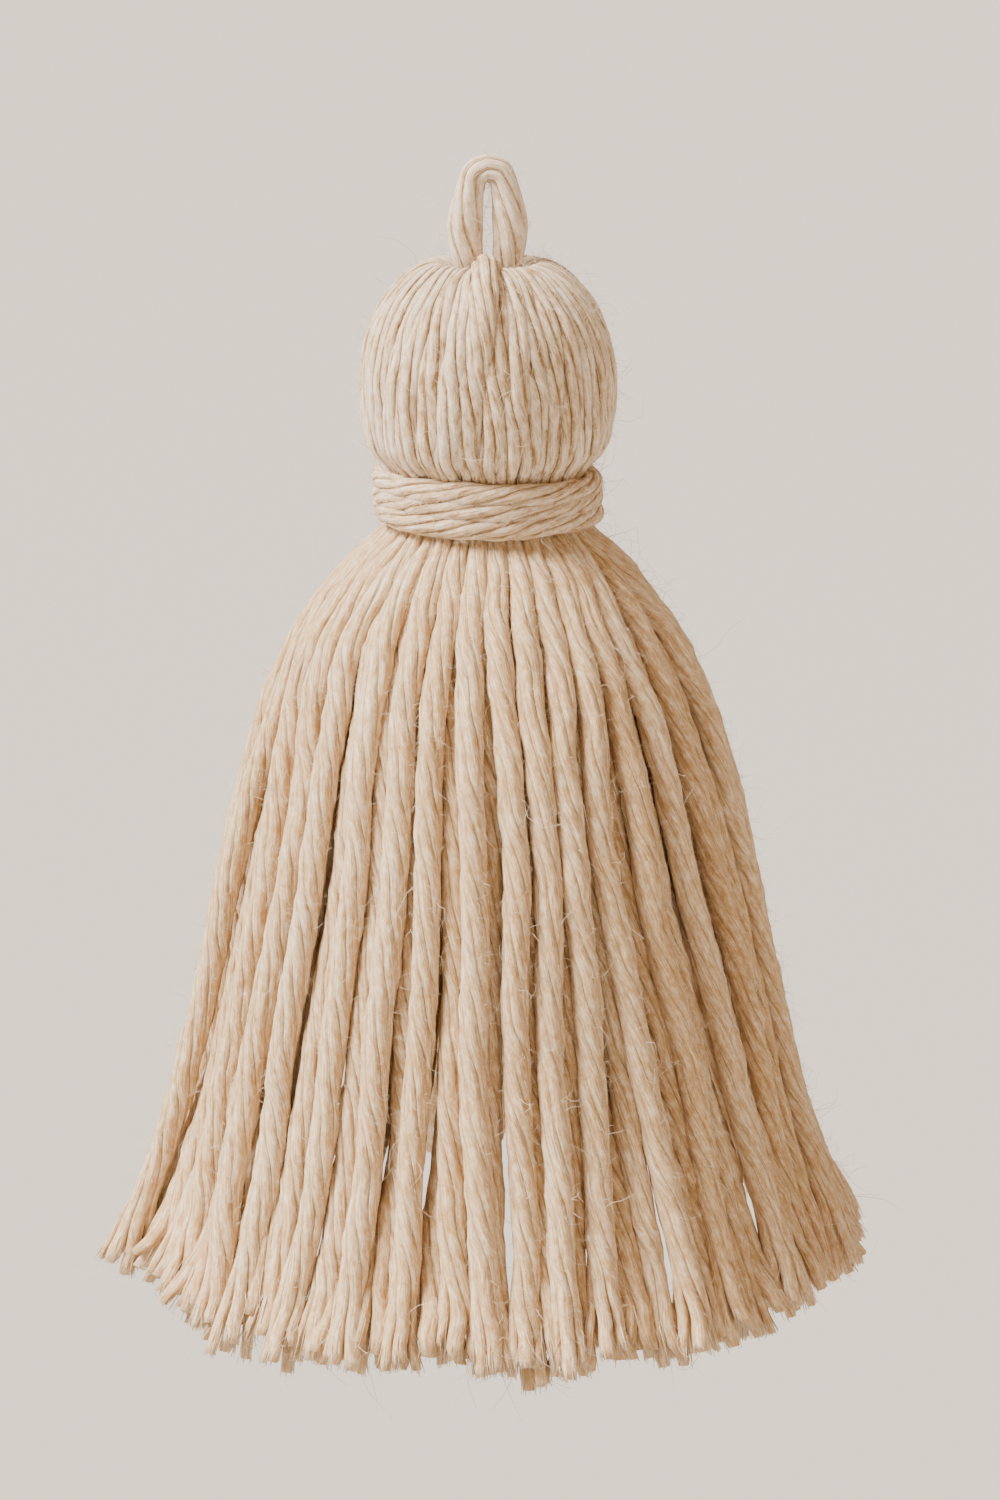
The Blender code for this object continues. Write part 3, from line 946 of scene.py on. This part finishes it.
def make_sun(name, toward, power, softness, colour):
    """A distant soft light: toward is the way from the tassel to it, softness its width in degrees."""
    light = bpy.data.lights.new(name, "SUN")
    light.energy = power
    light.angle = np.radians(softness)
    light.color = srgb(colour)[:3]
    obj = bpy.data.objects.new(name, light)
    obj.location = toward
    bpy.context.collection.objects.link(obj)
    look_at(obj, (0, 0, 0))


def make_stage():
    """A pale floor well below the hem, a nearly white key high at the left and a warm fill at the right."""
    mesh = bpy.data.meshes.new("floor")
    half, height = FLOOR_HALF, FLOOR_HEIGHT * MM
    corners = [(-half, -half, height), (half, -half, height), (half, half, height), (-half, half, height)]
    mesh.from_pydata(corners, [], [(0, 1, 2, 3)])
    floor = bpy.data.objects.new("floor", mesh)
    bpy.context.collection.objects.link(floor)
    paper = bpy.data.materials.new("matt studio paper")
    paper.use_nodes = True
    shader = paper.node_tree.nodes["Principled BSDF"]
    shader.inputs["Base Color"].default_value = srgb(FLOOR_COLOUR)
    shader.inputs["Roughness"].default_value = 0.9
    mesh.materials.append(paper)
    world = bpy.data.worlds.new("studio")
    world.use_nodes = True
    sky = world.node_tree.nodes["Background"]
    sky.inputs["Color"].default_value = srgb(SKY[0])
    sky.inputs["Strength"].default_value = SKY[1]
    bpy.context.scene.world = world
    make_sun("key", *KEY)
    make_sun("fill", *FILL)


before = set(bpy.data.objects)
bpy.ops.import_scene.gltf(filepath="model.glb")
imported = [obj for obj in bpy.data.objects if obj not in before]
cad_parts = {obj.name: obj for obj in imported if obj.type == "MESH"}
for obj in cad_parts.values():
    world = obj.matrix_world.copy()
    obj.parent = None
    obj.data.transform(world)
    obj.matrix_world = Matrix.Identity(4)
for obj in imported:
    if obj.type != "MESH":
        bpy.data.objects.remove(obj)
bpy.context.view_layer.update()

# Each cotton: name, pale, mid and deep tones, streak width in mm, relief in mm, painted shade where plies
# meet.
# One string in lit and shaded copies: the head's, loop's and binding's pale and mid tones are paler than the
# skirt's, painted light on the top parts, and the skirt's darker tones are painted shade.
strand_cotton = carded_cotton(
    "carded cotton string", "#F9E8CE", "#D5B183", "#B28B5E", 0.16, 0.13, 0.12
)
head_cotton = carded_cotton(
    "carded cotton string, stretched, paler as painted light", "#FFF6EA", "#E2C8A6", "#A5825A", 0.15, 0.13, 0.3
)
bind_cotton = carded_cotton(
    "carded cotton string, wound, paler as painted light", "#FFF6E9", "#DFC39F", "#A27F58", 0.15, 0.13, 0.28
)
packed_cotton = carded_cotton("packed cotton", "#D6BB96", "#C4A47C", "#A3835C", 0.2, 0.09, 0.0)
cut_cotton = carded_cotton(
    "carded cotton string, cut", "#FAEBD6", "#E4CBA6", "#C09C70", 0.2, 0.09, 0.0
)
hair_cotton = stray_fibre("stray cotton fibre", ("#E0C8A2", "#F6E9D4"))

skirt, strands = make_skirt(strand_cotton)
head, core, head_laid = make_head(head_cotton, packed_cotton)
crown = make_crown_yarn(head_cotton)
binding, bind_laid = make_binding(bind_cotton)
loop, loop_laid = make_loop(head_cotton)
tufts = make_tufts(cut_cotton, strands)
strays = make_strays(hair_cotton, strands)
front_nap = make_nap("skirt_front_nap", hair_cotton, strands[0], 41, 4200)
back_nap = make_nap("skirt_back_nap", hair_cotton, strands[1], 42, 3200)
head_nap = make_nap("head_nap", hair_cotton, head_laid, 43, 3000)
binding_nap = make_nap("binding_nap", hair_cotton, bind_laid, 44, 700)
loop_nap = make_nap("loop_nap", hair_cotton, loop_laid, 45, 260, outside_only=False)
front_down = make_down("skirt_front_down", hair_cotton, strands[0], 51, 7500)
head_down = make_down("head_down", hair_cotton, head_laid, 52, 5000)

yarn = (*skirt, head, core, crown, tufts, strays, front_nap, back_nap, head_nap, front_down, head_down)
for piece in yarn:
    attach(piece, "root")
    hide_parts("yarn_bundle")
for piece in (binding, binding_nap):
    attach(piece, "root")
    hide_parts("neck_binding")
for piece in (loop, loop_nap):
    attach(piece, "root")
    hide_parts("hanging_loop")

make_camera()
make_stage()
